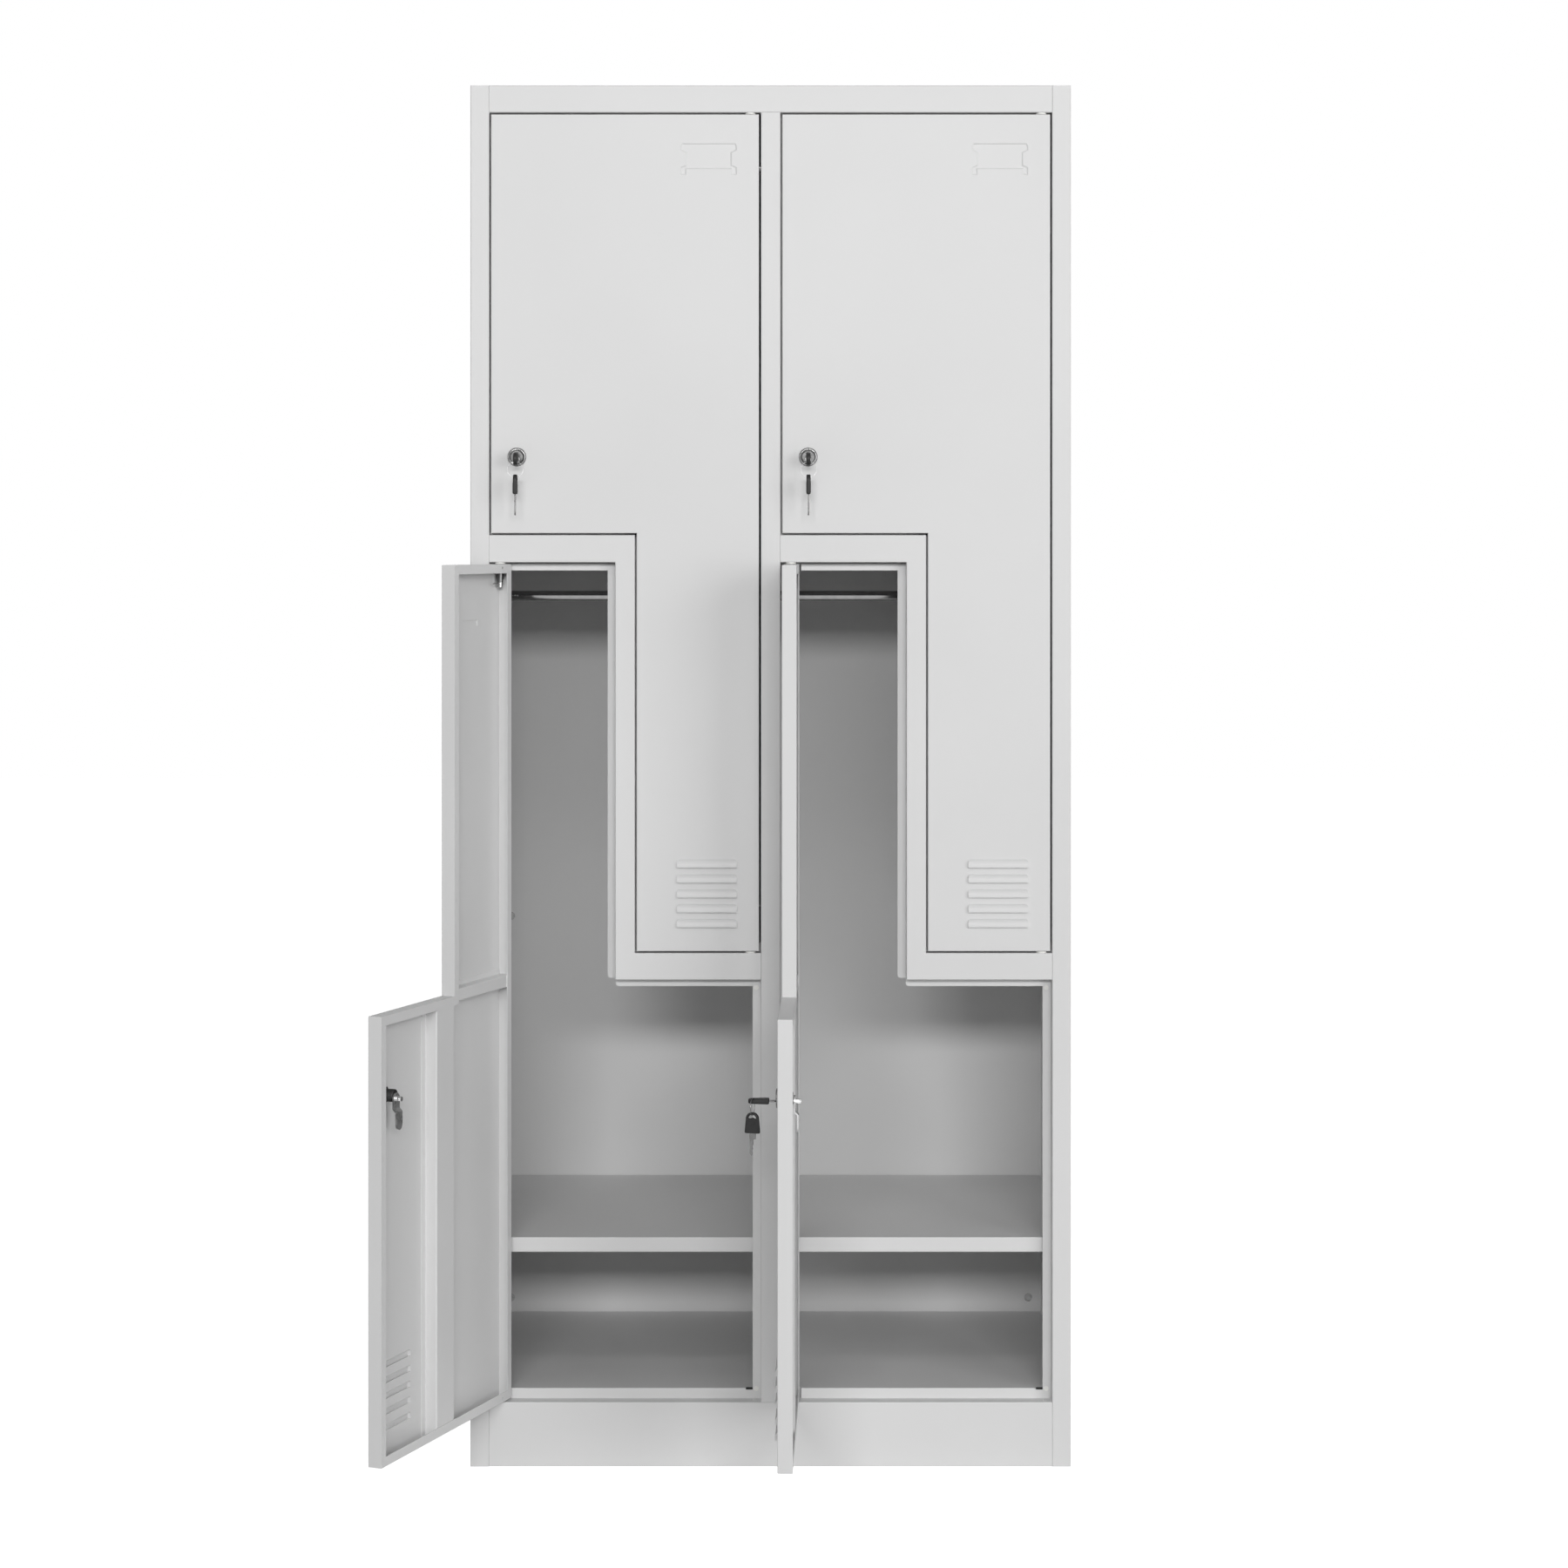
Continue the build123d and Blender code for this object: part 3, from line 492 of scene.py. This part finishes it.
def bolt_recipe():
    """Hexagon bolt heads on round washers, one at each point, facing the front."""
    recipe, given = new_recipe(
        "bolt_heads",
        {
            "Radius": ("Float", BOLT_R),
            "Height": ("Float", BOLT_TALL),
            "Washer": ("Float", WASHER_R),
            "Finish": ("Material", None),
        },
    )
    thin = recipe.add("ShaderNodeMath", {0: given["Height"], 1: CROWN_SHARE}, operation="MULTIPLY").outputs[0]
    slim = recipe.add("ShaderNodeMath", {0: given["Radius"], 1: CROWN_TAPER}, operation="MULTIPLY").outputs[0]
    washer = recipe.add(
        "GeometryNodeMeshCylinder", {"Vertices": 32, "Radius": given["Washer"], "Depth": WASHER_THICK}
    )
    head = recipe.add(
        "GeometryNodeMeshCylinder", {"Vertices": 6, "Radius": given["Radius"], "Depth": given["Height"]}
    )
    crown = recipe.add(
        "GeometryNodeMeshCone",
        {"Vertices": 6, "Radius Bottom": given["Radius"], "Radius Top": slim, "Depth": thin},
    )
    lift = recipe.add("ShaderNodeCombineXYZ", {"Z": given["Height"]})
    half = recipe.add("ShaderNodeVectorMath", {0: lift.outputs[0], 1: (0.5, 0.5, 0.5)}, operation="MULTIPLY")
    seat = (0, 0, WASHER_THICK / 2)
    low = recipe.add("GeometryNodeTransform", {"Geometry": washer.outputs[0], "Translation": seat})
    body = recipe.add("GeometryNodeTransform", {"Geometry": head.outputs[0], "Translation": half.outputs[0]})
    top = recipe.add("GeometryNodeTransform", {"Geometry": crown.outputs[0], "Translation": lift.outputs[0]})
    bolt = recipe.add("GeometryNodeJoinGeometry")
    for part in (low, body, top):
        recipe.tree.links.new(part.outputs[0], bolt.inputs[0])
    forward = (math.radians(90), 0, 0)
    faced = recipe.add("GeometryNodeTransform", {"Geometry": bolt.outputs[0], "Rotation": forward})
    spots = recipe.add(
        "GeometryNodeInstanceOnPoints", {"Points": given["Geometry"], "Instance": faced.outputs[0]}
    )
    return close_recipe(recipe, spots.outputs[0], given["Finish"])


# Places on the doors


class Lock:
    """Where a door's lock is, and the bodies that its pieces ride on."""

    def __init__(self, door):
        tier, column = door.split("_")
        upper = tier == "upper"
        edge = COLUMN_X[column] + (COLUMN if upper else 0)
        way = -1 if upper else 1
        hinge = Vector((edge + way * PIVOT_IN, FRONT + PIVOT_BACK, 0))
        closed = Vector((edge + way * (COLUMN - LOCK_IN), FRONT, LOCK_Z[tier]))
        swing = Matrix.Rotation(-math.radians(OPEN_ANGLE[door]), 4, "Z")
        self.door = door
        self.upper = upper
        self.bezel = Matrix.Translation(hinge) @ swing @ Matrix.Translation(closed - hinge)
        self.plug = self.bezel @ Matrix.Translation((0, 0, -PLUG_DROP * MM))
        self.leaf = f"{door}_door_leaf"
        self.turning = f"{door}_lock"
        self.spare = f"{door}_spare"


def shift(x=0.0, y=0.0, z=0.0):
    return Matrix.Translation((x * MM, y * MM, z * MM))


def turn(degrees, axis):
    return Matrix.Rotation(math.radians(degrees), 4, axis)


# A plate's own X and Y become the key's width and length, with its thickness across
KEY_FLAT = Matrix(((0, 0, 1, 0), (1, 0, 0, 0), (0, 1, 0, 0), (0, 0, 0, 1)))


def bow_outlines():
    """Arched bow with its crescent slot, bow end at the origin and blade side down."""
    middle = -RIM - SLOT_R
    side = RIM + SLOT_R
    corner = 1.5
    outside = arc(0, middle, side, 180, 0, 40)
    outside += arc(BOW_HALF - corner, corner - BOW_LONG, corner, 0, -90, 6)
    outside += arc(corner - BOW_HALF, corner - BOW_LONG, corner, -90, -180, 6)
    slot = arc(0, middle, SLOT_R, 172, 8, 30) + arc(0, middle - 3, 4.2, 48, 132, 12)
    return [outside, slot]


def blade_outline():
    """Blade with a stop shoulder, its cuts on one side and a pointed tip."""
    tip = -BOW_LONG - BLADE_LONG
    cuts = [(0.4, 3.2), (-0.5, 5.6), (-0.5, 6.6), (0.7, 8.6)]
    cuts += [(-0.2, 10.8), (-0.2, 11.8), (0.9, 14.0), (1.1, 15.4)]
    points = [(-BLADE_HALF, -BOW_LONG + 2), (-BLADE_HALF, tip + 3.4), (-1.6, tip + 0.6), (-0.9, tip)]
    points += [(y, tip + z) for y, z in cuts]
    points += [(1.1, tip + 20.2), (BLADE_HALF + 0.8, tip + 21), (BLADE_HALF + 0.8, -BOW_LONG + 2)]
    return points


def pad_outline():
    """Raised field on the bow's faces, below the slot."""
    edge, corner, crown = 2.2, 1.2, 5.6
    low, high = edge - BOW_LONG, -RIM - SLOT_R - 2.5
    half = BOW_HALF - edge
    pad = arc(half - corner, low + corner, corner, 0, -90, 6)
    pad += arc(corner - half, low + corner, corner, -90, -180, 6)
    return pad + arc(0, high - crown, half, 162, 18, 20)


def add_key(name, matrix, body, node):
    """Black bow with a raised field on each face, and its steel blade."""
    matrix = matrix @ KEY_FLAT
    bow = plate(f"{name}_bow", bow_outlines(), BOW_THICK - 2 * FIELD_RISE, BOW_ROUND, "black_plastic")
    place_piece(bow, matrix, body, "black_plastic", node)
    pad = plate(f"{name}_bow_field", [pad_outline()], BOW_THICK, FIELD_ROUND, "black_plastic")
    place_piece(pad, matrix, body, "black_plastic")
    # The blade takes the darkened steel: painted dark reflection
    blade = plate(f"{name}_blade", [blade_outline()], BLADE_THICK, BLADE_ROUND, "steel_painted_dark_reflection")
    place_piece(blade, matrix, body, "bright_steel")


def add_keys(lock, ring_tree):
    """Key in the plug, the ring through its bow, and the spare key that hangs on the ring."""
    door = lock.door
    facing = turn(0 if lock.upper else 90, "Y")
    inserted = lock.plug @ facing @ shift(y=-KEY_OUT) @ turn(90, "X")
    add_key(f"{door}_key", inserted, lock.turning, f"{door}_key")
    sag = math.sqrt((RING_R - RING_WIRE / 2) ** 2 - (BOW_THICK / 2) ** 2)
    slot_y = RIM + SLOT_R - KEY_OUT
    if lock.upper:
        rest = math.sqrt(SLOT_R**2 - RING_SEAT**2) - CLEAR
        centre = lock.plug @ shift(y=slot_y - RING_OFFSET, z=-rest - sag)
    else:
        out = turn(RING_YAW, "Z") @ Vector((RING_REACH, 0, -RING_DROP))
        centre = lock.plug @ shift(out.x, slot_y - RING_OFFSET + out.y, out.z) @ turn(RING_YAW, "Z")
    # The lower ring takes the darkened steel, a painted dark reflection; the upper ring keeps the bright
    # steel of its slot
    look = "bright_steel" if lock.upper else "steel_painted_dark_reflection"
    ring = run_recipe(ring_tree, f"{door}_split_ring", [(0, 0, 0)], look, width=RING_WIRE / 2)
    ring.data.transform(Matrix.Translation((0, 0, -RING_WIRE / 4)))
    place_piece(ring, centre @ turn(90, "X"), lock.turning, "bright_steel", f"{door}_key_ring")
    hung = centre @ shift(z=RIM + CLEAR - sag)
    add_key(f"{door}_spare", hung, lock.spare, f"{door}_spare_key")


def bored_disc(r):
    """Round face with the plug's hole below its centre."""
    return [arc(0, 0, r, 0, 352.5, 47), arc(0, -PLUG_DROP, PLUG_R, 0, 348.75, 31)]


def nut_outlines():
    """Hexagon with the barrel's bore."""
    corner = NUT_FLATS / 2 / math.cos(math.radians(30))
    return [arc(0, 0, corner, 0, 300, 5), arc(0, 0, BARREL_R + 0.02, 0, 352.5, 47)]


def thread_profile():
    """Outside of the barrel, with its thread."""
    profile = [(BARREL_R - THREAD_DEEP, 0.0)]
    for i in range(int(BARREL_BACK / THREAD_PITCH)):
        y = i * THREAD_PITCH
        profile += [(BARREL_R, y + 0.4 * THREAD_PITCH), (BARREL_R, y + 0.6 * THREAD_PITCH)]
        profile.append((BARREL_R - THREAD_DEEP, y + THREAD_PITCH))
    return profile


def spindle_profile():
    """Polished end of the spindle behind the cam, over the CAD's own rod."""
    start = BARREL_BACK + CAM_GAP + CAM_THICK
    r = SPINDLE_R + SPINDLE_SKIN
    end = start + SPINDLE_OUT + SPINDLE_SKIN
    return [(r, start), (r, end - 0.8), (r - 0.3, end - 0.2), (r - 0.8, end), (0.0, end)]


def add_lock(lock):
    """Bezel with its recessed face, and behind the door the barrel, its end, the nut and the spindle."""
    door = lock.door
    bezel = [
        (BARREL_R, 0.0),
        (BEZEL_R - 0.4, 0.0),
        (BEZEL_R, -0.4),
        (BEZEL_R, -0.9),
        (BEZEL_R - 0.5, -1.8),
        (BEZEL_R - 1.6, -BEZEL_OUT + 0.1),
        (BEZEL_R - 2.4, -BEZEL_OUT),
        (BEZEL_R - 3.2, -BEZEL_OUT + 0.15),
        (BEZEL_R - 3.9, -BEZEL_OUT + 0.9),
        (BARREL_R - 0.1, -BEZEL_OUT + 0.95),
        (BARREL_R - 0.1, 0.0),
    ]
    facing = turn(90, "X")
    # The bezel takes the darkened chrome: painted dark reflection
    ring = lathe(f"{door}_bezel", bezel, "bezel_chrome_painted_dark_reflection")
    place_piece(ring, lock.bezel, lock.leaf, "chrome", f"{door}_lock_case")
    # The face takes the darkened steel: painted dark reflection
    face = plate(f"{door}_lock_face", bored_disc(BARREL_R - FACE_FIT), FACE_THICK, DISC_ROUND, "steel_painted_dark_reflection")
    place_piece(face, lock.bezel @ shift(y=-FACE_DEEP) @ facing, lock.leaf, "bright_steel")
    barrel = lathe(f"{door}_barrel", thread_profile(), "dark_steel")
    place_piece(barrel, lock.bezel, lock.leaf, "dark_steel")
    end = plate(f"{door}_barrel_end", bored_disc(BARREL_R - 0.6), END_THICK, DISC_ROUND, "dark_steel")
    place_piece(end, lock.bezel @ shift(y=BARREL_BACK - END_THICK / 2) @ facing, lock.leaf, "dark_steel")
    nut = plate(f"{door}_nut", nut_outlines(), NUT_THICK, NUT_ROUND, "dark_steel")
    place_piece(nut, lock.bezel @ shift(y=SHEET + NUT_THICK / 2) @ facing, lock.leaf, "dark_steel")
    spindle = lathe(f"{door}_spindle", spindle_profile(), "chrome", steps=32)
    place_piece(spindle, lock.plug, lock.turning, "chrome")


def add_bolts():
    """Bolt heads on the rear flanges of the walls."""
    edge = HALF_WIDTH - REAR_FLANGE + BOLT_R + 1
    spots = [(x, BOLT_SEAT, z) for x in (-edge, edge) for z in BOLT_HEIGHTS]
    bolts = run_recipe(bolt_recipe(), "rear_bolts", spots, "bright_steel", height=BOLT_TALL)
    place_piece(bolts, Matrix.Identity(4), "carcass", "bright_steel", "back_bolts")


# Studio


def seen_rays(shader):
    """Mask of the rays that show the background: straight on, in reflections and through glass."""
    rays = shader.add("ShaderNodeLightPath").outputs
    bent = {0: rays["Is Glossy Ray"], 1: rays["Is Transmission Ray"]}
    shiny = shader.add("ShaderNodeMath", bent, operation="ADD").outputs[0]
    straight = {0: rays["Is Camera Ray"], 1: shiny}
    return shader.add("ShaderNodeMath", straight, operation="ADD", use_clamp=True).outputs[0]


def background_material(name, lit, glow):
    """White seen straight on and in reflections, and plain matt to every other ray."""
    material = bpy.data.materials.new(name)
    material.use_nodes = True
    tree = material.node_tree
    tree.nodes.clear()
    shader = Shader(tree)
    matt = shader.add("ShaderNodeBsdfDiffuse", {"Color": (lit, lit, lit, 1)})
    glowing = shader.add("ShaderNodeEmission", {"Color": (1, 1, 1, 1)})
    strength = shader.add("ShaderNodeMath", {0: seen_rays(shader), 1: glow}, operation="MULTIPLY")
    shader.feed(glowing.inputs["Strength"], strength.outputs[0])
    both = shader.add("ShaderNodeAddShader", {0: matt.outputs[0], 1: glowing.outputs[0]})
    end = shader.add("ShaderNodeOutputMaterial")
    shader.feed(end.inputs["Surface"], both.outputs[0])
    return material


def add_floor():
    mesh = bpy.data.meshes.new("floor")
    near = [(-FLOOR_SIDE, FLOOR_NEAR, 0), (FLOOR_SIDE, FLOOR_NEAR, 0)]
    far = [(FLOOR_SIDE, FLOOR_FAR, 0), (-FLOOR_SIDE, FLOOR_FAR, 0)]
    mesh.from_pydata(near + far, [], [(0, 1, 2, 3)])
    floor = bpy.data.objects.new("floor", mesh)
    floor.location = (0, 0, -FLOOR_GAP)
    bpy.context.scene.collection.objects.link(floor)
    mesh.materials.append(background_material("floor_white", lit=0.8, glow=0.95))


def add_world(level):
    world = bpy.data.worlds.new("studio")
    bpy.context.scene.world = world
    world.use_nodes = True
    tree = world.node_tree
    tree.nodes.clear()
    shader = Shader(tree)
    strength = shader.add("ShaderNodeMapRange", {"Value": seen_rays(shader), "To Min": level, "To Max": 1.0})
    sky = shader.add("ShaderNodeBackground", {"Color": (1, 1, 1, 1), "Strength": strength.outputs["Result"]})
    end = shader.add("ShaderNodeOutputWorld")
    shader.feed(end.inputs["Surface"], sky.outputs[0])


def add_lamp(name, place, aim, size, watts):
    data = bpy.data.lights.new(name, "AREA")
    data.shape = "RECTANGLE"
    data.size, data.size_y = size
    data.energy = watts
    lamp = bpy.data.objects.new(name, data)
    lamp.location = place
    lamp.rotation_euler = (Vector(aim) - Vector(place)).to_track_quat("-Z", "Y").to_euler()
    bpy.context.scene.collection.objects.link(lamp)


def add_studio():
    add_floor()
    add_world(level=0.059)
    add_lamp("key_light", place=(0, -12, 4.3), aim=(0, 0, 1.0), size=(7.0, 1.2), watts=706)
    add_lamp("top_light", place=(0, -5, 5.6), aim=(0, 0, 0.6), size=(3.0, 1.0), watts=36)
    add_lamp("fill_left", place=(-4.5, -1.2, 1.8), aim=(0, -0.2, 0.9), size=(1.6, 1.6), watts=13)
    add_lamp("fill_right", place=(6.0, -7.0, 2.4), aim=(0, 0, 0.9), size=(4.5, 4.5), watts=262)


def main():
    add_camera()
    dress_nodes()
    ring_tree = ring_recipe()
    for door in OPEN_ANGLE:
        lock = Lock(door)
        add_lock(lock)
        if door in KEYED:
            add_keys(lock, ring_tree)
    add_bolts()
    add_studio()
    bpy.context.scene.view_settings.view_transform = "Standard"


main()
